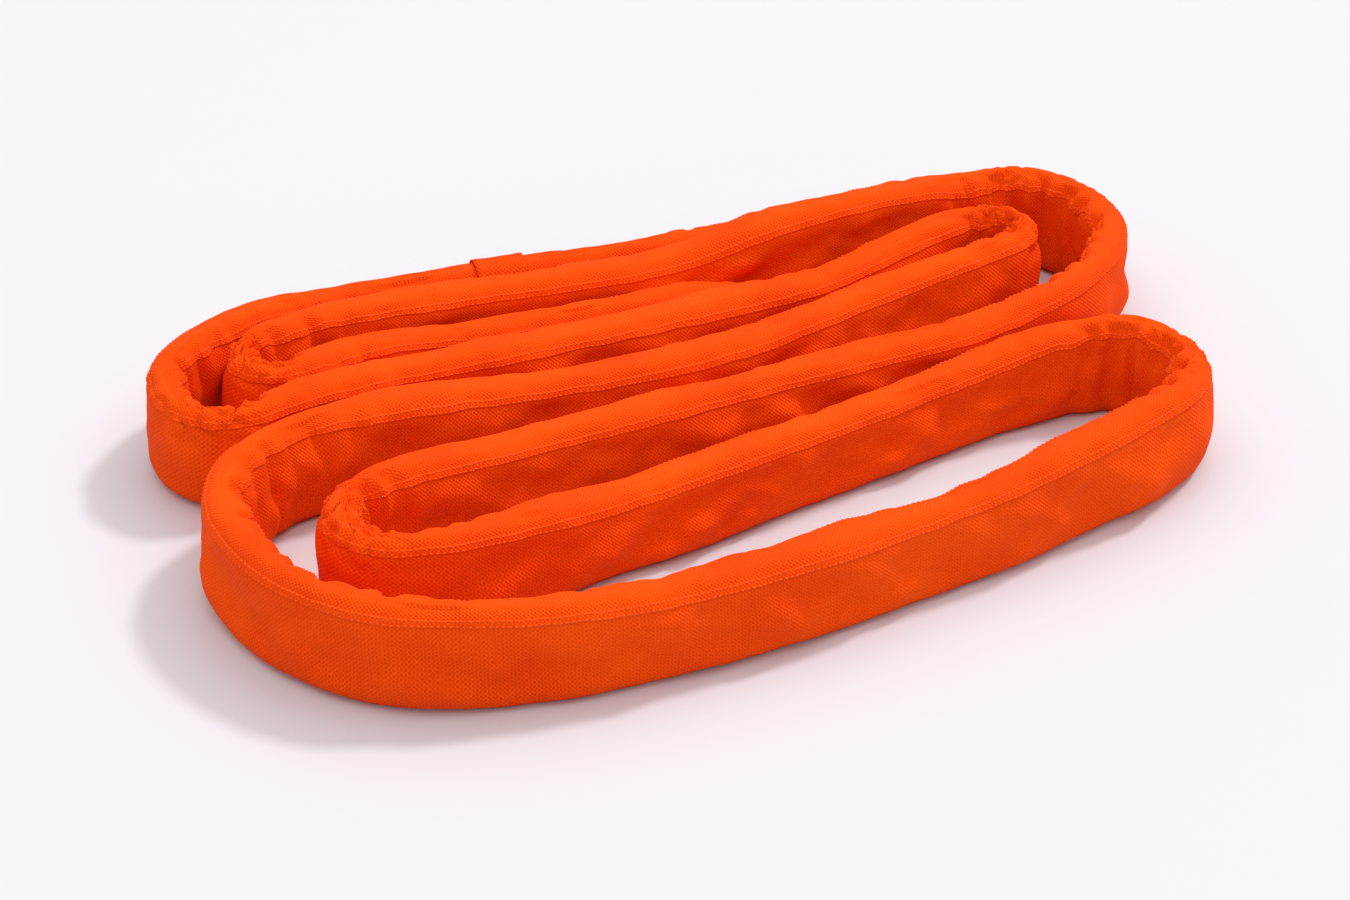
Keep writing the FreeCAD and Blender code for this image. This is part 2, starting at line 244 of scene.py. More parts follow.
def skin_mesh(name: str, rings: Grid, along: Grid, around: Grid, closed: bool) -> bpy.types.Mesh:
    """Mesh of quads over rings of points, with a UV map in metres of cloth.

    Args:
        name: Name of the new mesh.
        rings: Points, as ring number by place around by x, y, z.
        along: Place of each ring along the cloth.
        around: Place of each column around the cloth, with one more for where it closes.
        closed: Whether the last ring joins the first; otherwise both ends are capped.

    Returns:
        The new mesh.
    """
    count, sides = rings.shape[:2]
    rows = np.arange(count if closed else count - 1)
    row, column = (part.ravel() for part in np.meshgrid(rows, np.arange(sides), indexing="ij"))
    after, beside = (row + 1) % count, (column + 1) % sides
    quads = np.stack([row * sides + column, row * sides + beside,
                      after * sides + beside, after * sides + column], axis=1)
    faces = quads.tolist()
    if not closed:
        faces += [list(range(sides - 1, -1, -1)), list(range((count - 1) * sides, count * sides))]
    mesh = bpy.data.meshes.new(name)
    mesh.from_pydata(rings.reshape(-1, 3).tolist(), [], faces)
    step = np.append(along, 2 * along[-1] - along[-2])
    u = np.stack([step[row], step[row], step[row + 1], step[row + 1]], axis=1)
    v = np.stack([around[column], around[column + 1], around[column + 1], around[column]], axis=1)
    uv = np.zeros((len(mesh.loops), 2))
    uv[:quads.size] = np.stack([u.ravel(), v.ravel()], axis=1)
    mesh.uv_layers.new(name="Cloth").data.foreach_set("uv", uv.ravel())
    mesh.validate()
    return mesh


@dataclass
class Route:
    """The sling's middle line and how the jacket lies along it."""

    straight_step: float = 0.0042
    bend_step: float = 0.0027
    full_bend: float = 12.0      # bend, per metre, from which the steps are bend_step
    samples: int = 6000
    smoothing: int = 17          # samples that each bend is averaged over
    cuff_share: float = 0.26
    points: Grid = field(init=False)
    lay: Grid = field(init=False)
    along: Grid = field(init=False)
    across: Grid = field(init=False)
    bend: Grid = field(init=False)

    def __post_init__(self) -> None:
        """Draws the line from the middle of the cuff, all the way round and back."""
        last, first = ROUTE[-1], ROUTE[0]
        closure = tuple(a + self.cuff_share * (b - a) for a, b in zip(last[:2], first[:2]))
        stops = [(*closure, Lay.CLOSED), *ROUTE, (*closure, Lay.CLOSED)]
        middles = [(x, y, lay.value[2] + lay.value[1] / 2) for x, y, lay in stops]
        line = curve_line("route", middles)
        lay = curve_line("lay", [stop[2].value for stop in stops])
        length = self.lengths(line)
        fine = np.linspace(0.0, length[-1], self.samples)
        heading = np.unwrap(np.arctan2(*np.gradient(self.at(line, length, fine), axis=0)[:, 1::-1].T))
        window = np.hanning(self.smoothing)
        turn = np.convolve(np.gradient(heading, fine), window / window.sum(), "same")
        bent = np.clip(abs(turn) / self.full_bend, 0, 1)
        step = self.straight_step + (self.bend_step - self.straight_step) * bent
        rings = np.concatenate([[0.0], np.cumsum((1.0 / step)[1:] * np.diff(fine))])
        self.along = np.interp(np.linspace(0.0, rings[-1], int(rings[-1])), rings, fine)[:-1]
        self.points = self.at(line, length, self.along)
        self.lay = self.at(lay, length, self.along)
        angle = np.interp(self.along, fine, heading)
        self.across = np.stack([-np.sin(angle), np.cos(angle), np.zeros_like(angle)], axis=1)
        self.bend = np.interp(self.along, fine, turn)
        self.length = float(length[-1])

    def near(self, share: float) -> float:
        """Distance along the sling of a place on the closure run, share of the way along it."""
        last, first = np.array(ROUTE[-1][:2]), np.array(ROUTE[0][:2])
        return self.nearest(last + share * (first - last))

    def nearest(self, place: Grid) -> float:
        """Distance along the sling of the ring nearest a place seen from above."""
        return float(self.along[np.argmin(np.linalg.norm(self.points[:, :2] - place, axis=1))])

    def rings_about(self, middle: float, length: float) -> Grid:
        """Finds the rings of a short stretch of the sling.

        Args:
            middle: Distance along the sling of its middle.
            length: Length of the stretch.

        Returns:
            Numbers of its rings in order, also where it runs over the start of the route.
        """
        apart = np.abs((self.along - middle + self.length / 2) % self.length - self.length / 2)
        rings = np.flatnonzero(apart <= length / 2)
        if np.all(np.diff(rings) == 1):
            return rings
        return np.roll(rings, np.count_nonzero(rings > len(self.along) / 2))

    @staticmethod
    def lengths(line: Grid) -> Grid:
        """Distance of each point from the first, along the line."""
        return np.concatenate([[0.0], np.cumsum(np.linalg.norm(np.diff(line, axis=0), axis=1))])

    @staticmethod
    def at(rows: Grid, length: Grid, wanted: Grid) -> Grid:
        """Looks up rows at wanted distances along the line.

        Args:
            rows: Rows of values known along the line.
            length: Distance of each known row.
            wanted: Distances to look up.

        Returns:
            One row for each wanted distance.
        """
        return np.stack([np.interp(wanted, length, column) for column in rows.T], axis=1)


@dataclass
class Outline:
    """Cross-section of the stuffed jacket: a soft box with rounded long edges."""

    corner: float = 0.0125
    crown: float = 0.0022
    bulge: float = 0.0016
    waist: float = 0.0030
    bottom_steps: int = 6
    side_steps: int = 13
    top_steps: int = 8
    low_corner_steps: int = 3
    high_corner_steps: int = 7
    columns: Grid = field(init=False)
    around: Grid = field(init=False)

    def __post_init__(self) -> None:
        """Lays the columns out around the section and measures them on a usual one."""
        self.columns = np.array(self.loop())
        flat = self.section(np.array([[0.038, 0.076, 0.0]]))[0]
        closed = np.vstack([flat, flat[:1]])
        self.around = np.concatenate([[0.0], np.cumsum(np.linalg.norm(np.diff(closed, axis=0), axis=1))])

    def loop(self) -> list[tuple[float, float, float, float]]:
        """Lays out the columns of the section.

        Returns:
            Side, share of the height and outward direction (across, up) of each column, from the middle
            of the underside, up the left side and down the right.
        """
        rows = []

        def straight(start: tuple[float, float], end: tuple[float, float], out: tuple[float, float],
                     steps: int) -> None:
            """Adds a flat stretch without its last point.

            Args:
                start: Its first point, as side and share of the height.
                end: Its last point.
                out: Its outward direction.
                steps: Its columns.
            """
            for step in range(steps):
                share = step / steps
                rows.append((start[0] + share * (end[0] - start[0]),
                             start[1] + share * (end[1] - start[1]), *out))

        def corner(place: tuple[float, float], first: float, steps: int) -> None:
            """Adds a quarter turn without its last point.

            Args:
                place: Its middle, as side and share of the height.
                first: Direction of its start, in degrees.
                steps: Its columns.
            """
            for step in range(steps):
                angle = math.radians(first + 90.0 * step / steps)
                rows.append((*place, math.cos(angle), math.sin(angle)))

        straight((0, 0), (1, 0), (0, -1), self.bottom_steps // 2)
        corner((1, 0), -90, self.low_corner_steps)
        straight((1, 0), (1, 1), (1, 0), self.side_steps)
        corner((1, 1), 0, self.high_corner_steps)
        straight((1, 1), (-1, 1), (0, 1), self.top_steps)
        corner((-1, 1), 90, self.high_corner_steps)
        straight((-1, 1), (-1, 0), (-1, 0), self.side_steps)
        corner((-1, 0), 180, self.low_corner_steps)
        straight((-1, 0), (0, 0), (0, -1), self.bottom_steps // 2)
        return rows

    def section(self, lay: Grid, depth: float = 0.0) -> Grid:
        """Places of all columns across and above the route.

        Args:
            lay: Width, height and underside of the jacket, one row for each ring.
            depth: How far inside the jacket's face the outline runs.

        Returns:
            Ring by column by (across, up).
        """
        side, up, out, rise = self.columns.T
        half = lay[:, :1] / 2 - depth
        tall = lay[:, 1:2] - 2 * depth
        corner = max(self.corner - depth, 0.002)
        across = side * (half - corner) + out * corner
        height = corner + up * (tall - 2 * corner) + rise * corner
        share = height / tall
        lean = self.bulge * np.sin(np.pi * share) - self.waist * share ** 3
        across = across + lean * across / half
        height = height + self.crown * np.clip(rise, 0, 1) * (1 - (across / half) ** 2)
        return np.stack([across, lay[:, 2:3] + depth + height], axis=2)


@dataclass(frozen=True)
class Wave:
    """One kind of ripple in the cloth: its height, length along the sleeve and width around it."""

    height: float
    length: float
    width: float
    seed: float

    def over(self, along: Grid, around: Grid) -> Grid:
        """Heights of the ripple at places on the cloth, in metres."""
        return self.height * ripples(along / self.length, around / self.width, self.seed)


@dataclass
class Sleeve:
    """The outer jacket: a woven tube, slack over its core, puckered at every bend."""

    route: Route
    outline: Outline
    swell: Wave = Wave(0.0046, 0.120, 0.100, 3.1)        # long soft swellings
    drag: Wave = Wave(0.0140, 0.078, 0.034, 7.7)         # diagonal drags down the sides
    small_drag: Wave = Wave(0.0048, 0.040, 0.019, 9.2)
    fine: Wave = Wave(0.0011, 0.016, 0.013, 12.4)        # small unevenness all over
    gather: Wave = Wave(1.9, 0.034, 0.060, 21.3)         # unevenness of the pleats' spacing
    gather_depth: Wave = Wave(1.0, 0.032, 0.11, 27.9)    # and of their depth
    crumple: Wave = Wave(1.0, 0.013, 0.017, 47.0)        # its zero line is where the cloth crumples
    bite: Wave = Wave(1.0, 0.024, math.inf, 33.0)        # where the seam's edge is notched
    slant: float = 0.62                                  # lean of the drags
    sag: float = 0.0012                                  # how far the sides sink between the drags
    pleat_pitch: float = 0.0084                          # from one gather of a bend to the next
    pleat_depth: float = 0.0105
    crumple_depth: float = 0.0048
    notch_depth: float = 0.0080
    pinch_depth: float = 0.0034
    slack_by_bend: float = 0.085                         # share of slack for a bend of one per metre
    most_slack: float = 1.25
    taut_by_bend: float = 0.060
    deepest: float = 0.0095
    usual_height: float = 0.060                          # jackets pressed flatter crease less
    tight_bend: tuple[float, float] = (9.0, 23.0)        # bend where crumples start and are full
    underside: float = 0.9                               # share of the lay's underside that cloth may sink to
    cuff_hold: tuple[float, float] = (0.024, 0.06)       # from the closure: flat up to, free from
    label_hold: tuple[float, float] = (0.026, 0.045)     # from the label: flat up to, free from
    base: Grid = field(init=False)
    out: Grid = field(init=False)
    heights: Grid = field(init=False)
    rings: Grid = field(init=False)
    normals: Grid = field(init=False)

    def __post_init__(self) -> None:
        """Shapes the cloth: base tube first, then its puckers."""
        self.base = self.tube(0.0)
        self.out = self.facing(self.base)
        self.heights = self.relief()
        self.rings = self.raised(self.heights, 0.0)
        self.normals = self.facing(self.rings)

    def tube(self, depth: float) -> Grid:
        """Rings of the plain stuffed tube.

        Args:
            depth: How far inside the jacket's face they run.

        Returns:
            Ring by column by x, y, z.
        """
        flat = self.outline.section(self.route.lay, depth)
        rings = self.route.points[:, None, :] + self.route.across[:, None, :] * flat[:, :, :1]
        rings[:, :, 2] = flat[:, :, 1]
        return rings

    def raised(self, heights: Grid, above: float) -> Grid:
        """Rings at given heights over the plain tube.

        Args:
            heights: Ring by column of heights.
            above: Least height over the jacket's underside.

        Returns:
            Ring by column by x, y, z.
        """
        rings = self.base + self.out * heights[:, :, None]
        rings[:, :, 2] = np.maximum(rings[:, :, 2], self.route.lay[:, 2:3] * self.underside + above)
        return rings

    def under(self, depth: float) -> Grid:
        """Rings of a tube under the cloth, clear of every crease in it.

        Args:
            depth: How far under the cloth it stays.

        Returns:
            Ring by column by x, y, z.
        """
        lowest = self.heights
        for axis in (0, 1):
            beside = np.minimum(np.roll(lowest, 1, axis=axis), np.roll(lowest, -1, axis=axis))
            lowest = np.minimum(lowest, beside)
        return self.raised(lowest - depth, depth)

    @staticmethod
    def facing(rings: Grid) -> Grid:
        """Outward normals of closed rings of points.

        Args:
            rings: Ring by column by x, y, z.

        Returns:
            Unit normals, in the same order.
        """
        along = np.roll(rings, -1, axis=0) - np.roll(rings, 1, axis=0)
        around = np.roll(rings, -1, axis=1) - np.roll(rings, 1, axis=1)
        return unit_rows(np.cross(around, along))

    def relief(self) -> Grid:
        """How far the cloth stands out from the plain tube, or sinks into it.

        Returns:
            Ring by column of heights in metres.
        """
        side, bend, along = self.outline.columns[:, 0], self.route.bend[:, None], self.route.along[:, None]
        inward = bend * side
        slack = np.clip(inward * self.slack_by_bend, 0.0, self.most_slack)
        calm = 1.0 - 0.85 * np.clip(-inward * self.taut_by_bend, 0.0, 1.0)
        after, before = along, self.route.length - along
        from_end = smooth_step(*self.cuff_hold, after) * smooth_step(*self.cuff_hold, before)
        from_label = np.abs(along - self.route.near(LABEL_RUN_SHARE))
        held = 1.0 - (1.0 - smooth_step(*self.label_hold, from_label)) * (side > 0.5)
        height = self.loose(calm) + self.gathers(slack, calm)
        height = np.where(height < 0, -self.deepest * np.tanh(-height / self.deepest), height)
        height *= np.clip(self.route.lay[:, 1:2] / self.usual_height, 0.3, 1.0)
        return height * from_end * held - self.outline.bulge * (1.0 - held)

    def loose(self, calm: Grid) -> Grid:
        """Swellings and diagonal drags of cloth that lies loose on the core.

        Args:
            calm: Share of the ripples that is left where a bend draws the cloth tight.

        Returns:
            Ring by column of heights in metres.
        """
        side, up, out, rise = self.outline.columns.T
        along, around = self.route.along[:, None], self.outline.around[None, :-1]
        flank = np.abs(out) * np.sin(np.pi * np.clip(up, 0.02, 0.98)) ** 0.5
        lower = np.clip(-rise, 0, 1)
        straight = 1.0 - np.clip(np.abs(self.route.bend[:, None]) * 0.04, 0, 0.75)
        lean = side * self.slant
        drags = self.drag.over(along + lean * around, around - lean * along)
        drags = drags + self.small_drag.over(along - 0.7 * lean * around, around + lean * along)
        pucker = (drags - self.sag) * flank * straight
        swell, fine = self.swell.over(along, around), self.fine.over(along, around)
        return (swell * calm + pucker + fine * calm) * (1.0 - 0.7 * lower)

    def gathers(self, slack: Grid, calm: Grid) -> Grid:
        """Pleats, crumples and nicked edges where a bend gathers the cloth.

        Args:
            slack: How slack the cloth is at each place.
            calm: Share of the ripples that is left where a bend draws the cloth tight.

        Returns:
            Ring by column of heights in metres, none above 0.
        """
        side, up, out, rise = self.outline.columns.T
        along, around = self.route.along[:, None], self.outline.around[None, :-1]
        bend = self.route.bend[:, None]
        top = np.clip(rise, 0, 1)
        phase = along / self.pleat_pitch + self.gather.over(along, around)
        depth = 0.30 + 1.7 * np.clip(self.gather_depth.over(along, around) + 0.22, 0, 0.8)
        crease = -self.pleat_depth * depth * (1.0 - np.abs(np.sin(phase))) ** 1.2
        reach = smooth_step(-0.25, 0.85, side * np.sign(bend))
        pleat = crease * slack * (np.abs(out) * (0.45 + 0.55 * up) + 0.8 * top * reach)
        first, full = self.tight_bend
        tight = np.clip((np.abs(bend) - first) / (full - first), 0.0, 1.0)
        line = np.abs(self.crumple.over(along + 0.010 * side, around))
        crumple = np.clip(1.0 - 4.0 * line, 0.0, 1.0) ** 0.8 * tight * np.clip(top + 0.6 * (up > 0.8), 0, 1)
        edge = np.exp(-((up - 1.0) / 0.20) ** 2) * smooth_step(0.55, 1.0, np.abs(side))
        bite = smooth_step(0.10, 0.45, self.bite.over(along, around))
        nick = smooth_step(0.30, 0.55, ripples(along / 0.085, side * 3.0, 38.0))
        return (pleat - self.crumple_depth * crumple - self.notch_depth * bite * edge * slack
                - self.pinch_depth * nick * edge * calm)

    def spot(self, along: Grid, around: Grid) -> tuple[Grid, Grid]:
        """Points on the finished cloth and its outward normals there.

        Args:
            along: Distances along the sleeve.
            around: Distances around it, one for each distance along.

        Returns:
            Points and unit normals, one row for each place.
        """
        loop = np.append(self.route.along, self.route.length)
        ring = np.interp(along, loop, np.arange(len(loop)))
        column = np.interp(around, self.outline.around, np.arange(len(self.outline.around)))
        low_ring, low_column = np.floor(ring).astype(int), np.floor(column).astype(int)
        ring_part, column_part = (ring - low_ring)[:, None], (column - low_column)[:, None]
        found = []
        for rows in (self.rings, self.normals):
            count, sides = rows.shape[:2]
            near, far = low_column % sides, (low_column + 1) % sides
            first, after = (rows[row % count, near] * (1 - column_part) + rows[row % count, far] * column_part
                            for row in (low_ring, low_ring + 1))
            found.append(first * (1 - ring_part) + after * ring_part)
        return found[0], unit_rows(found[1])

    def build(self, material: bpy.types.Material) -> bpy.types.Object:
        """Builds the sleeve."""
        mesh = skin_mesh("sling_sleeve", self.rings, self.route.along, self.outline.around, True)
        return claim(finished("sling_sleeve", mesh, material), "outer_cover")


def band_mesh(name: str, outer: Grid, inner: Grid, along: Grid, around: Grid) -> bpy.types.Mesh:
    """Closed short band with a wall, from its outer and inner rings.

    Args:
        name: Name of the new mesh.
        outer: Rings of the outer face.
        inner: Rings of the inner face.
        along: Place of each ring along the cloth.
        around: Place of each column around the cloth, with one more for where it closes.

    Returns:
        The new mesh.
    """
    rings = np.concatenate([outer, inner[::-1]])
    return skin_mesh(name, rings, np.concatenate([along, along[::-1] + 0.1]), around, True)


def row_of_stitches(name: str, places: Grid, normals: Grid, length: float, width: float,
                    height: float) -> bpy.types.Mesh:
    """Mesh of small stitches, thick in the middle, one on each place and in line with its neighbours.

    Args:
        name: Name of the new mesh.
        places: Middle of each stitch, in order along the row.
        normals: Unit normal of the cloth at each stitch.
        length: Length of one stitch.
        width: Width of one stitch.
        height: How far the thread stands up.

    Returns:
        The new mesh.
    """
    run = unit_rows(np.gradient(places, axis=0))
    cross = unit_rows(np.cross(normals, run))
    waist = ((0.5, 0), (0, 1), (-0.5, 0), (0, -0.6))
    stitch = [(-0.5, 0.0, -0.4)]
    stitch += [(end * 0.24, a, b) for end in (-1, 1) for a, b in waist]
    stitch += [(0.5, 0.0, -0.4)]
    faces = [(0, 1 + (k + 1) % 4, 1 + k) for k in range(4)]
    faces += [(1 + k, 1 + (k + 1) % 4, 5 + (k + 1) % 4, 5 + k) for k in range(4)]
    faces += [(9, 5 + k, 5 + (k + 1) % 4) for k in range(4)]
    points = sum(np.array([row[index] for row in stitch])[None, :, None] * size * axis[:, None, :]
                 for index, (size, axis) in enumerate(((length, run), (width, cross), (height, normals))))
    points = points + places[:, None, :]
    count = len(stitch)
    mesh = bpy.data.meshes.new(name)
    mesh.from_pydata(points.reshape(-1, 3).tolist(), [],
                     [tuple(corner + number * count for corner in face)
                      for number in range(len(places)) for face in faces])
    return mesh


@dataclass
class Seams:
    """Flat-felled seam along each upper edge, with its two rows of lock stitches."""

    sleeve: Sleeve
    width: float = 0.0070
    rise: float = 0.0007
    rows: tuple[float, float] = (0.0014, 0.0056)
    pitch: float = 0.0042
    stitch_size: tuple[float, float, float] = (0.0030, 0.0013, 0.00055)
    edge_wave: tuple[float, float] = (0.0002, 0.006)       # height and length
    stray_wave: tuple[float, float] = (0.0085, 0.021)
    section: tuple[tuple[float, float], ...] = (
        (0.0, -0.6), (0.03, 0.75), (0.20, 1.0), (0.5, 0.86),
        (0.80, 1.0), (0.97, 0.75), (1.0, -0.6), (0.5, -0.8))  # share of the width, share of the rise

    def edge(self, side: Side) -> tuple[float, int]:
        """Finds where a seam lies around the jacket.

        Args:
            side: Side that the seam is on.

        Returns:
            Distance around the jacket where it starts, and 1 or -1 for the way that it runs from there.
        """
        outline = self.sleeve.outline
        first = outline.bottom_steps // 2 + outline.low_corner_steps + outline.side_steps + 1
        if side is Side.LEFT:
            return float(outline.around[first]), 1
        return float(outline.around[len(outline.columns) - first]), -1

    def stray(self, side: Side, along: Grid) -> Grid:
        """How far a seam strays around the jacket where a bend has crumpled it.

        Args:
            side: Side that the seam is on.
            along: Distances along the sleeve.

        Returns:
            Distances around the jacket, one for each distance along.
        """
        bend = np.interp(along, self.sleeve.route.along, self.sleeve.route.bend)
        slack = np.clip(bend * side.value * self.sleeve.slack_by_bend, 0.12, 1.0)
        height, length = self.stray_wave
        return height * slack * ripples(along / length, np.zeros_like(along), 61.0 + side.value)

    def band(self, side: Side, material: bpy.types.Material) -> bpy.types.Object:
        """Builds one felled seam as a low strip that follows the puckered cloth.

        Args:
            side: Side that the seam is on.
            material: Finish of the strip.

        Returns:
            The new piece.
        """
        start, way = self.edge(side)
        route = self.sleeve.route
        height, length = self.edge_wave
        wave = height * ripples(route.along / length, np.zeros_like(route.along), 41.0 + side.value)
        columns = []
        for share, lift in self.section[::-way]:
            around = start + way * share * self.width + self.stray(side, route.along)
            places, normals = self.sleeve.spot(route.along, around)
            columns.append(places + normals * (lift * self.rise + wave)[:, None])
        rings = np.stack(columns, axis=1)
        around = np.linspace(0.0, self.width * 2, len(self.section) + 1)
        name = f"{side.name.lower()}_seam"
        mesh = skin_mesh(name, rings[:, ::-1], route.along, around, True)
        return claim(finished(name, mesh, material), f"{name}_band")

    def stitches(self, side: Side, row: int, material: bpy.types.Material) -> bpy.types.Object:
        """Builds one row of stitches.

        Args:
            side: Side that the seam is on.
            row: 0 for the outer row, 1 for the inner one.
            material: Finish of the thread.

        Returns:
            The new piece.
        """
        start, way = self.edge(side)
        along = np.arange(0.0, self.sleeve.route.length - self.pitch / 2, self.pitch)
        around = start + way * self.rows[row] + self.stray(side, along)
        places, normals = self.sleeve.spot(along, around)
        word = ("outer", "inner")[row]
        name = f"{side.name.lower()}_seam_{word}_stitches"
        mesh = row_of_stitches(name, places + normals * self.rise, normals, *self.stitch_size)
        node = f"{side.name.lower()}_seam_{word}_thread"
        return claim(finished(name, mesh, material), node)


@dataclass
class Core:
    """What the jacket hides: liner, hanks of yarn, their ties and the tape over the yarn ends."""

    sleeve: Sleeve
    liner_depth: float = 0.0012
    depth: float = 0.0125
    tie_depth: float = 0.0110
    tie_wall: float = 0.0006
    tie_length: float = 0.009
    tie_runs: tuple[int, ...] = (10, 19, 34, 45, 56, 69, 81)
    hanks: int = 5
    hank_gap: float = 0.0005
    tape_wall: float = 0.0002
    tape_length: float = 0.040
    sides: int = 16
    squareness: float = 0.55
    hank_girth: float = 0.08
    ring_stride: int = 3

    def liner(self, material: bpy.types.Material) -> bpy.types.Object:
        """Builds the inner jacket, a little inside the outer one.

        Args:
            material: Finish of its cloth.

        Returns:
            The new piece.
        """
        sleeve = self.sleeve
        rings = sleeve.under(self.liner_depth)
        mesh = skin_mesh("liner", rings, sleeve.route.along, sleeve.outline.around, True)
        return claim(finished("liner", mesh, material), "inner_cover")

    def hank_rings(self, row: int, rings: Grid, grow: float = 0.0) -> Grid:
        """Rings of one hank of yarn.

        Args:
            row: Rows above the bottom one.
            rings: Numbers of the route's rings to use.
            grow: How far outside the hank's own face the rings run.

        Returns:
            Ring by column by x, y, z.
        """
        route = self.sleeve.route
        lay = route.lay[rings]
        upright = np.minimum(self.depth, 0.25 * lay[:, 1])
        cell = (lay[:, 1] - 2 * upright - (self.hanks - 1) * self.hank_gap) / self.hanks
        middle = lay[:, 2] + upright + row * (cell + self.hank_gap) + cell / 2
        angles = np.linspace(-np.pi, np.pi, self.sides, endpoint=False)
        across, up = (np.sign(f(angles)) * np.abs(f(angles)) ** self.squareness for f in (np.cos, np.sin))
        half = (lay[:, 0] / 2 - np.minimum(self.depth, 0.34 * lay[:, 0]) + grow)[:, None] * across
        points = route.points[rings][:, None, :] + route.across[rings][:, None, :] * half[:, :, None]
        points[:, :, 2] = middle[:, None] + (cell[:, None] / 2 + grow) * up
        return points

    def hank_marks(self) -> Grid:
        """Places of a hank's columns around its yarn, for its UV map."""
        return np.linspace(0.0, self.hank_girth, self.sides + 1)

    def hank(self, row: int, material: bpy.types.Material) -> bpy.types.Object:
        """Builds one hank of yarn, the whole way round.

        Args:
            row: Rows above the bottom one.
            material: Finish of the yarn.

        Returns:
            The new piece.
        """
        route = self.sleeve.route
        rings = np.arange(0, len(route.along), self.ring_stride)
        name = f"yarn_hank_{row + 1}"
        mesh = skin_mesh(name, self.hank_rings(row, rings), route.along[rings], self.hank_marks(), True)
        return claim(finished(name, mesh, material), f"core_hank_{row + 1}")

    def ties(self, material: bpy.types.Material) -> bpy.types.Object:
        """Builds the yarn ties around the whole core, as one piece.

        Args:
            material: Finish of the ties.

        Returns:
            The new piece.
        """
        route = self.sleeve.route
        outer, inner = self.sleeve.tube(self.tie_depth), self.sleeve.tube(self.tie_depth + self.tie_wall)
        meshes = []
        for number, run in enumerate(self.tie_runs):
            middle = (np.array(ROUTE[run][:2]) + np.array(ROUTE[run + 1][:2])) / 2
            rings = route.rings_about(route.nearest(middle), self.tie_length)
            meshes.append(band_mesh(f"yarn_tie_{number}", outer[rings], inner[rings], route.along[rings],
                                    self.sleeve.outline.around))
        return claim(finished("yarn_ties", joined("yarn_ties", meshes), material), "core_ties")

    def tape(self, material: bpy.types.Material) -> bpy.types.Object:
        """Builds the tape round the top hank, over the spliced yarn ends.

        Args:
            material: Finish of the tape.

        Returns:
            The new piece.
        """
        route = self.sleeve.route
        rings = route.rings_about(route.near(0.5), self.tape_length)
        top = self.hanks - 1
        outer, inner = self.hank_rings(top, rings, self.tape_wall), self.hank_rings(top, rings)
        mesh = band_mesh("splice_tape", outer, inner, route.along[rings], self.hank_marks())
        return claim(finished("splice_tape", mesh, material), "yarn_end_tape")


def joined(name: str, meshes: list[bpy.types.Mesh]) -> bpy.types.Mesh:
    """One mesh from several, keeping their UV maps.

    Args:
        name: Name of the new mesh.
        meshes: Meshes to join, each with one UV map; they are removed.

    Returns:
        The new mesh.
    """
    places, faces, maps = [], [], []
    for mesh in meshes:
        start = len(places)
        places += [vertex.co[:] for vertex in mesh.vertices]
        faces += [[start + corner for corner in polygon.vertices] for polygon in mesh.polygons]
        maps += [corner.uv[:] for corner in mesh.uv_layers[0].data]
        bpy.data.meshes.remove(mesh)
    whole = bpy.data.meshes.new(name)
    whole.from_pydata(places, [], faces)
    whole.uv_layers.new(name="Cloth").data.foreach_set("uv", np.array(maps).ravel())
    return whole


@dataclass
class Cuff:
    """Sewn cuff over the place where the jacket's two ends meet."""

    sleeve: Sleeve
    length: float = 0.044
    room: float = 0.0013
    wall: float = 0.0008
    hem_rise: float = 0.0003
    hem_place: tuple[float, float] = (0.014, 0.017)
    crinkle: Wave = Wave(0.00035, 0.012, 0.012, 55.0)
    off_floor: float = 0.0002
    stitch_inset: float = 0.005
    stitch_size: tuple[float, float, float] = (0.0028, 0.0009, 0.0004)
    pitch: float = 0.0040

    def build(self, material: bpy.types.Material) -> bpy.types.Object:
        """Builds the cuff as a band with a wall and a slightly raised hem at each end.

        Args:
            material: Finish of its cloth.

        Returns:
            The new piece.
        """
        route = self.sleeve.route
        rings = route.rings_about(0.0, self.length)
        apart = (route.along[rings] + route.length / 2) % route.length - route.length / 2
        hem = self.hem_rise * smooth_step(*self.hem_place, np.abs(apart))
        whole = self.sleeve.tube(-self.room - self.wall)
        crinkle = self.crinkle.over(apart[:, None], self.sleeve.outline.around[None, :-1])
        outer = whole[rings] + self.sleeve.facing(whole)[rings] * (hem[:, None] + crinkle)[:, :, None]
        outer[:, :, 2] = np.maximum(outer[:, :, 2], self.off_floor)
        mesh = band_mesh("closing_cuff", outer, self.sleeve.tube(-self.room)[rings], apart,
                         self.sleeve.outline.around)
        return claim(finished("closing_cuff", mesh, material), "closure_cuff")

    def stitches(self, material: bpy.types.Material) -> bpy.types.Object:
        """Builds a ring of stitches near each end of the cuff.

        Args:
            material: Finish of the thread.

        Returns:
            The new piece.
        """
        route = self.sleeve.route
        whole = self.sleeve.tube(-self.room - self.wall)
        facing = self.sleeve.facing(whole)
        meshes = []
        around = self.sleeve.outline.around
        marks = np.arange(0.0, around[-1], self.pitch)
        column = np.interp(marks, around, np.arange(len(around)))
        low, part = np.floor(column).astype(int), (column % 1.0)[:, None]
        after = (low + 1) % (len(around) - 1)
        for side in (-1, 1):
            reach = side * (self.length / 2 - self.stitch_inset) % route.length
            ring = int(np.argmin(np.abs(route.along - reach)))
            places = whole[ring][low] * (1 - part) + whole[ring][after] * part
            normals = unit_rows(facing[ring][low] * (1 - part) + facing[ring][after] * part)
            meshes.append(row_of_stitches(f"cuff_stitches_{side}", places, normals, *self.stitch_size))
            meshes[-1].uv_layers.new(name="Cloth")
        piece = finished("cuff_stitches", joined("cuff_stitches", meshes), material)
        return claim(piece, "closure_stitches")


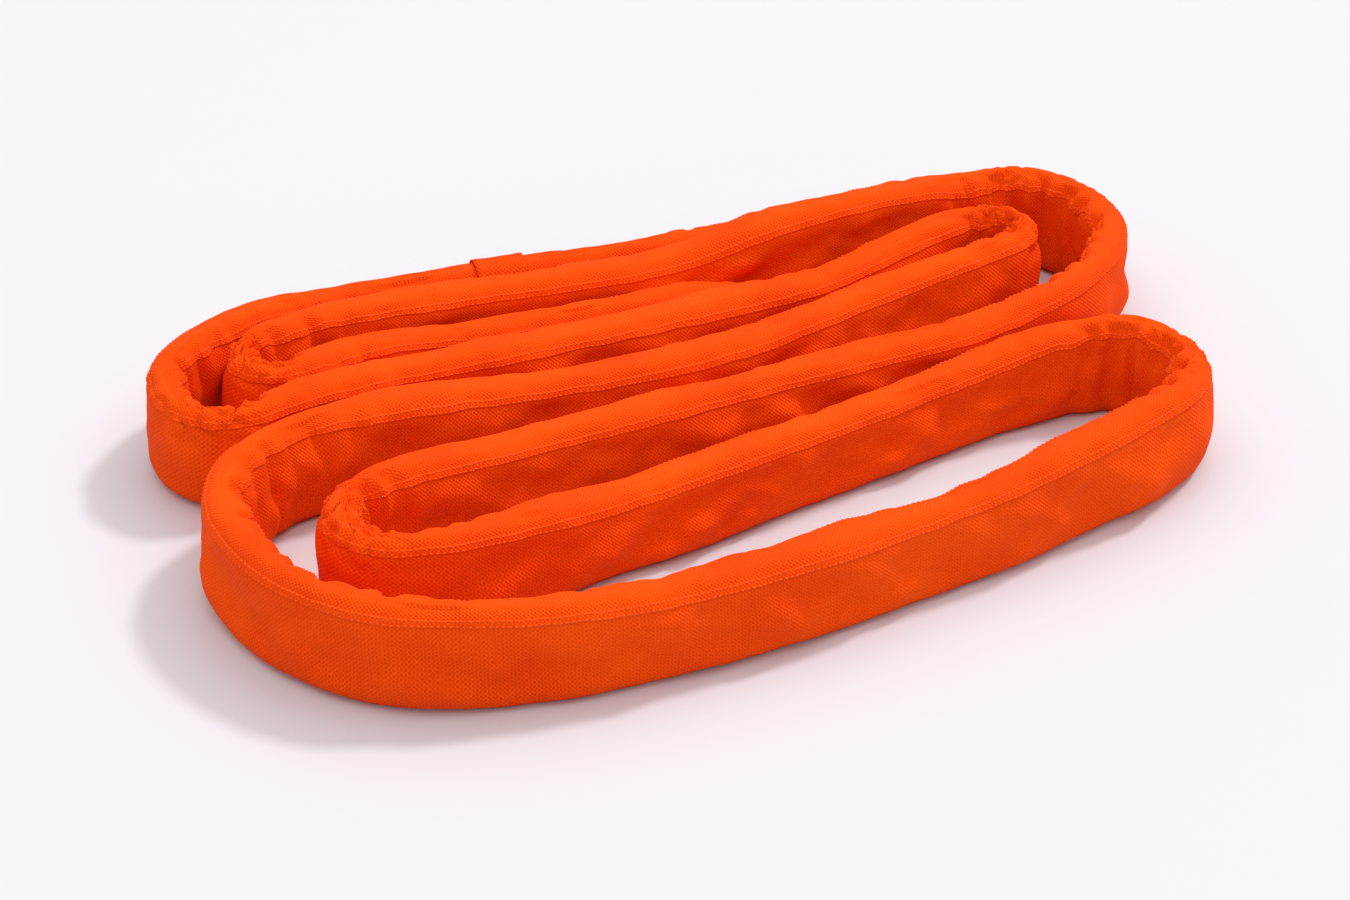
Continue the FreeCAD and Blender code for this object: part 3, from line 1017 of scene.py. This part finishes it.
@dataclass
class Label:
    """Identification label: a tab sewn to the back of the rear run and a blank flap that hangs from it."""

    hinge: Vector
    line: Vector
    width: float = 0.046
    drop: float = 0.039
    thickness: float = 0.0014
    stand_off: float = 0.0013
    tab_rise: float = 0.0010
    tab_height: float = 0.0060
    tab_thickness: float = 0.0012
    border: float = 0.0035
    window_sink: float = 0.00025
    stitches: int = 9
    stitch_size: tuple[float, float, float] = (0.0026, 0.0009, 0.0005)
    stitch_lift: float = 0.00045

    def place(self, piece: bpy.types.Object) -> None:
        """Moves a mesh from the label's own space to its place on the sling.

        Args:
            piece: Piece built with X along the hinge, Y off the jacket and Z up.
        """
        away = Vector((0.0, 0.0, 1.0)).cross(self.line)
        turn = Matrix((self.line, away, Vector((0.0, 0.0, 1.0)))).transposed().to_4x4()
        piece.data.transform(Matrix.Translation(self.hinge) @ turn)

    @staticmethod
    def block(name: str, low: tuple[float, float, float], high: tuple[float, float, float],
              rounding: float) -> bpy.types.Object:
        """Adds a block with rounded edges between two corners.

        Args:
            name: Name of the new object.
            low: Lowest corner.
            high: Highest corner.
            rounding: Radius of its edges.

        Returns:
            The new object, at the origin.
        """
        bpy.ops.object.select_all(action="DESELECT")
        bpy.ops.mesh.primitive_cube_add(size=1.0, location=(0.0, 0.0, 0.0))
        piece = bpy.context.object
        piece.name = name
        bpy.ops.object.mode_set(mode="EDIT")
        bpy.ops.mesh.select_all(action="SELECT")
        bpy.ops.transform.resize(value=[b - a for a, b in zip(low, high)])
        bpy.ops.transform.translate(value=[(a + b) / 2 for a, b in zip(low, high)])
        bpy.ops.mesh.bevel(offset=rounding, segments=2, affect="EDGES")
        bpy.ops.object.mode_set(mode="OBJECT")
        return piece

    def flap(self, webbing: bpy.types.Material, film: bpy.types.Material) -> bpy.types.Object:
        """Builds the flap: a webbing plate with a blank film window, under the bead that it hangs by.

        Args:
            webbing: Finish of the plate and its bead.
            film: Finish of the window.

        Returns:
            The new piece.
        """
        half = self.thickness / 2
        piece = self.block("label_panel", (0.0, -half, -self.drop), (self.width, half, 0.0), 0.0003)
        for face in piece.data.polygons:
            face.select = face.normal.y > 0.9 and face.area > 0.5 * self.width * self.drop
        bpy.ops.object.mode_set(mode="EDIT")
        bpy.ops.mesh.inset(thickness=self.border, depth=0.0)
        bpy.ops.mesh.inset(thickness=0.0002, depth=-self.window_sink)
        bpy.ops.object.mode_set(mode="OBJECT")
        window = [face.index for face in piece.data.polygons if face.select]
        bpy.ops.mesh.primitive_cylinder_add(vertices=20, radius=half, depth=self.width,
                                            location=(self.width / 2, 0.0, 0.0),
                                            rotation=(0.0, math.pi / 2, 0.0))
        bead = bpy.context.object
        bpy.ops.object.transform_apply(location=True, rotation=True, scale=True)
        piece.data.materials.append(webbing)
        piece.data.materials.append(film)
        for index in window:
            piece.data.polygons[index].material_index = 1
        bead.data.materials.append(webbing)
        piece.select_set(True)
        bpy.context.view_layer.objects.active = piece
        bpy.ops.object.join()
        self.place(piece)
        return claim(piece, "label_flap", body="label")

    def tab(self, webbing: bpy.types.Material) -> bpy.types.Object:
        """Builds the tab that is sewn flat to the jacket.

        Args:
            webbing: Finish of the tab.

        Returns:
            The new piece.
        """
        inner = -self.stand_off
        piece = self.block("label_tab_sewn", (0.0, inner, self.tab_rise),
                           (self.width, inner + self.tab_thickness, self.tab_rise + self.tab_height), 0.0004)
        piece.data.materials.append(webbing)
        self.place(piece)
        return claim(piece, "label_tab")

    def tab_stitches(self, thread: bpy.types.Material) -> bpy.types.Object:
        """Builds the row of stitches that holds the tab.

        Args:
            thread: Finish of the thread.

        Returns:
            The new piece.
        """
        pitch = self.width / self.stitches
        height = self.tab_rise + self.tab_height / 2 + self.stitch_lift
        face = -self.stand_off + self.tab_thickness
        places = np.array([((number + 0.5) * pitch, face, height) for number in range(self.stitches)])
        normals = np.tile((0.0, 1.0, 0.0), (self.stitches, 1))
        mesh = row_of_stitches("label_stitches", places, normals, *self.stitch_size)
        piece = finished("label_stitches", mesh, thread)
        self.place(piece)
        return claim(piece, "label_tab_stitches")


def feed(tree: bpy.types.NodeTree, node: bpy.types.Node, inputs: Inputs) -> None:
    """Links or sets inputs of a node.

    Args:
        tree: Node tree that the node is in.
        node: Node to feed.
        inputs: For each input's name or number, the socket that feeds it or its plain value.
    """
    for name, value in inputs.items():
        if isinstance(value, bpy.types.NodeSocket):
            tree.links.new(value, node.inputs[name])
        else:
            node.inputs[name].default_value = value


def add_node(tree: bpy.types.NodeTree, kind: str, inputs: Inputs, **settings: object) -> bpy.types.Node:
    """Adds a node with its settings and feeds its inputs.

    Args:
        tree: Node tree to add it to.
        kind: Blender's name of the node type.
        inputs: What each input is fed with, as in feed.
        settings: Properties of the node itself.

    Returns:
        The new node.
    """
    node = tree.nodes.new(kind)
    for name, value in settings.items():
        setattr(node, name, value)
    feed(tree, node, inputs)
    return node


def new_material(name: str, shader: Inputs) -> tuple[bpy.types.Material, bpy.types.Node]:
    """Starts a node material.

    Args:
        name: Name of the material.
        shader: Plain values of its shader's inputs.

    Returns:
        The material and its shader node.
    """
    material = bpy.data.materials.new(name)
    material.use_nodes = True
    node = material.node_tree.nodes["Principled BSDF"]
    feed(material.node_tree, node, shader)
    return material, node


@dataclass(frozen=True)
class ClothFinish:
    """Plain-woven polyester with raised crossings, ribs across the length, uneven dye and painted shade in
    the weave's hollows.
    """

    name: str
    light: Colour
    deep: Colour
    pitch: float = 0.0016
    rib: float = 0.0025
    relief: float = 0.00065
    sway: float = 0.0011
    sway_scale: float = 160.0
    fuzz_scale: float = 900.0
    dye_scale: float = 14.0
    roughness: float = 0.86
    sheen: float = 0.10

    def material(self) -> bpy.types.Material:
        """Builds the node material.

        Returns:
            The new material, which reads the piece's own UV map in metres.
        """
        material, shader = new_material(self.name, {
            "Roughness": self.roughness, "Sheen Weight": self.sheen, "Sheen Roughness": 0.5,
            "Sheen Tint": (*self.light, 1.0), "Specular IOR Level": 0.08})
        tree = material.node_tree

        def maths(operation: str, *inputs: object) -> bpy.types.NodeSocket:
            """Adds one Math node, fed by sockets or plain numbers."""
            return add_node(tree, "ShaderNodeMath", dict(enumerate(inputs)), operation=operation).outputs[0]

        def noise_at(vector: bpy.types.NodeSocket, scale: float, detail: float) -> bpy.types.NodeSocket:
            """Adds one noise texture and gives its height."""
            inputs = {"Vector": vector, "Scale": scale, "Detail": detail}
            return add_node(tree, "ShaderNodeTexNoise", inputs).outputs["Fac"]

        cloth = add_node(tree, "ShaderNodeUVMap", {}, uv_map="Cloth").outputs[0]
        parts = add_node(tree, "ShaderNodeSeparateXYZ", {0: cloth})
        wander = maths("SUBTRACT", noise_at(cloth, self.sway_scale, 1.0), 0.5)
        sway = maths("MULTIPLY", wander, self.sway)
        u, v = (maths("ADD", parts.outputs[index], sway) for index in (0, 1))
        warp = maths("SINE", maths("MULTIPLY", u, math.pi / self.pitch))
        weft = maths("SINE", maths("MULTIPLY", v, math.pi / self.pitch))
        ribs = maths("SINE", maths("MULTIPLY", u, 2 * math.pi / self.rib))
        weave = maths("ADD", maths("MULTIPLY", warp, weft), maths("MULTIPLY", ribs, 0.35))
        fuzz = noise_at(cloth, self.fuzz_scale, 2.0)
        height = maths("ADD", maths("MULTIPLY", weave, 0.5), maths("MULTIPLY", fuzz, 0.5))
        bump = add_node(tree, "ShaderNodeBump", {"Strength": 0.9, "Distance": self.relief, "Height": height})

        place = add_node(tree, "ShaderNodeTexCoord", {}).outputs["Object"]
        # Colour mix, partly painted shade: the weave term darkens the weave's hollows like shade, and the dye
        # noise adds random darker tone.
        dye = maths("MULTIPLY", noise_at(place, self.dye_scale, 5.0), 0.7)
        shade = maths("ADD", maths("MULTIPLY", weave, 0.22), dye)
        share = add_node(tree, "ShaderNodeMapRange", {"Value": shade, "From Min": 0.0, "From Max": 0.62})
        mix = add_node(tree, "ShaderNodeMix", {}, data_type="RGBA")
        feed(tree, mix, {"Factor": share.outputs[0], "A": (*self.deep, 1.0), "B": (*self.light, 1.0)})
        feed(tree, shader, {"Normal": bump.outputs[0], "Base Color": mix.outputs["Result"]})
        return material


@dataclass(frozen=True)
class YarnFinish:
    """Bundled or twisted polyester filaments, with fine streaks and a soft gloss."""

    name: str
    colour: Colour
    dark: Colour
    streaks: tuple[float, float, float] = (60.0, 60.0, 900.0)
    roughness: float = 0.55
    relief: float = 0.0003

    def material(self) -> bpy.types.Material:
        """Builds the node material.

        Returns:
            The new material, which reads the piece's own place in metres.
        """
        material, shader = new_material(self.name, {"Roughness": self.roughness, "Specular IOR Level": 0.25})
        tree = material.node_tree
        place = add_node(tree, "ShaderNodeTexCoord", {}).outputs["Object"]
        stretch = add_node(tree, "ShaderNodeMapping", {"Scale": self.streaks, "Vector": place})
        grain = add_node(tree, "ShaderNodeTexNoise", {
            "Scale": 1.0, "Detail": 3.0, "Vector": stretch.outputs[0]})
        mix = add_node(tree, "ShaderNodeMix", {}, data_type="RGBA")
        feed(tree, mix, {"Factor": grain.outputs["Fac"], "A": (*self.dark, 1.0), "B": (*self.colour, 1.0)})
        bump = add_node(tree, "ShaderNodeBump", {"Strength": 0.5, "Distance": self.relief,
                                                 "Height": grain.outputs["Fac"]})
        feed(tree, shader, {"Normal": bump.outputs[0], "Base Color": mix.outputs["Result"]})
        return material


EVEN_GRAIN = (500.0, 500.0, 500.0)
ORANGE, DEEP_ORANGE = (1.0, 0.096, 0.0015), (0.80, 0.038, 0.0004)
JACKET = ClothFinish("jacket_weave", ORANGE, DEEP_ORANGE)
SEAM = ClothFinish("seam_weave", ORANGE, DEEP_ORANGE, pitch=0.0014, relief=0.0005)
CUFF = ClothFinish("cuff_weave", (0.96, 0.088, 0.0015), (0.72, 0.033, 0.0004), pitch=0.0018)
SEAM_THREAD = YarnFinish("seam_thread", (1.0, 0.12, 0.008), (0.85, 0.060, 0.003), EVEN_GRAIN, 0.8)
LINER = ClothFinish("liner_weave", (0.78, 0.76, 0.71), (0.55, 0.53, 0.48))
CORE_YARN = YarnFinish("core_filaments", (0.86, 0.85, 0.81), (0.60, 0.59, 0.55))
TIE_YARN = YarnFinish("tie_filaments", (0.72, 0.71, 0.68), (0.45, 0.44, 0.42))
TAPE = YarnFinish("splice_tape", (0.62, 0.56, 0.40), (0.52, 0.46, 0.32), (90.0, 90.0, 90.0), 0.3)
WEBBING = ClothFinish("label_webbing", (0.030, 0.085, 0.36), (0.012, 0.040, 0.20), pitch=0.0009)
FILM = YarnFinish("label_film", (0.10, 0.22, 0.55), (0.09, 0.20, 0.50), (40.0, 40.0, 40.0), 0.25)
LABEL_THREAD = YarnFinish("label_thread", (0.85, 0.85, 0.83), (0.6, 0.6, 0.58), EVEN_GRAIN)


@dataclass
class Studio:
    """Pale floor, soft key light from the right, sky light and the camera."""

    camera_place: tuple[float, float, float] = (-0.9716, -1.8492, 1.3538)
    camera_turn: tuple[float, float, float] = (57.0, 0.0, -27.0)
    lens: float = 85.0
    floor_size: float = 30.0
    floor_colour: Colour = (0.665, 0.66, 0.69)
    key_turn: tuple[float, float] = (11.0, 50.0)
    key_strength: float = 1.45
    key_spread: float = 8.0
    sky: float = 0.80
    sky_colour: Colour = (1.0, 0.985, 0.99)
    top_size: float = 4.0
    top_place: tuple[float, float, float] = (0.3, 0.3, 3.0)
    top_power: float = 40.0

    def camera(self) -> None:
        """Adds the camera and makes it the scene's own."""
        data = bpy.data.cameras.new("view")
        data.lens = self.lens
        data.sensor_width = 36.0
        data.sensor_fit = "HORIZONTAL"
        data.clip_end = 100.0
        camera = bpy.data.objects.new("view", data)
        camera.location = self.camera_place
        camera.rotation_euler = [math.radians(angle) for angle in self.camera_turn]
        bpy.context.scene.collection.objects.link(camera)
        bpy.context.scene.camera = camera

    def lights(self) -> None:
        """Adds the key light, a wide panel overhead and an even pale sky."""
        azimuth, elevation = (math.radians(angle) for angle in self.key_turn)
        toward = Vector((math.cos(azimuth) * math.cos(elevation), math.sin(azimuth) * math.cos(elevation),
                         math.sin(elevation)))
        data = bpy.data.lights.new("key", "SUN")
        data.energy = self.key_strength
        data.angle = math.radians(self.key_spread)
        key = bpy.data.objects.new("key", data)
        key.rotation_euler = toward.to_track_quat("Z", "Y").to_euler()
        bpy.context.scene.collection.objects.link(key)
        panel = bpy.data.lights.new("overhead", "AREA")
        panel.size = self.top_size
        panel.energy = self.top_power
        overhead = bpy.data.objects.new("overhead", panel)
        overhead.location = self.top_place
        bpy.context.scene.collection.objects.link(overhead)
        world = bpy.data.worlds.new("sky")
        world.use_nodes = True
        background = world.node_tree.nodes["Background"]
        background.inputs["Color"].default_value = (*self.sky_colour, 1.0)
        background.inputs["Strength"].default_value = self.sky
        bpy.context.scene.world = world
        bpy.context.scene.view_settings.view_transform = "Standard"

    def floor(self) -> None:
        """Adds the plain pale floor under the sling."""
        bpy.ops.object.select_all(action="DESELECT")
        bpy.ops.mesh.primitive_plane_add(size=self.floor_size, location=(0.0, 0.0, 0.0))
        floor = bpy.context.object
        floor.name = "floor"
        material, _ = new_material("floor_paper", {
            "Base Color": (*self.floor_colour, 1.0), "Roughness": 0.6, "Specular IOR Level": 0.2})
        floor.data.materials.append(material)


def main() -> None:
    """Builds the sling's looks around its frame, from the jacket inwards, then the floor and the lights."""
    logging.basicConfig(level=logging.INFO, format="%(message)s")
    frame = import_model()
    studio = Studio()
    studio.camera()

    route = Route()
    LOG.info("route: %d rings, %.3f m", len(route.along), route.length)
    sleeve = Sleeve(route, Outline())
    piece = sleeve.build(JACKET.material())

    seams, seam_thread = Seams(sleeve), SEAM_THREAD.material()
    seam_cloth = SEAM.material()
    along_it = [seams.band(side, seam_cloth) for side in Side]
    along_it += [seams.stitches(side, row, seam_thread) for side in Side for row in (0, 1)]

    core, core_yarn = Core(sleeve), CORE_YARN.material()
    along_it.append(core.liner(LINER.material()))
    along_it += [core.hank(row, core_yarn) for row in range(core.hanks)]
    along_it += [core.ties(TIE_YARN.material()), core.tape(TAPE.material())]

    cuff = Cuff(sleeve)
    along_it += [cuff.build(CUFF.material()), cuff.stitches(seam_thread)]

    joint = frame["record"]["behaviour"]["joints"][0]
    label, webbing = Label(Vector(joint["pos_m"]), Vector(joint["axis"]).normalized()), WEBBING.material()
    along_it += [label.flap(webbing, FILM.material()), label.tab(webbing),
                 label.tab_stitches(LABEL_THREAD.material())]

    for part in (piece, *along_it):
        LOG.info("%s: %d faces", part.name, len(part.data.polygons))
    studio.lights()
    studio.floor()


if __name__ == "__main__":
    main()
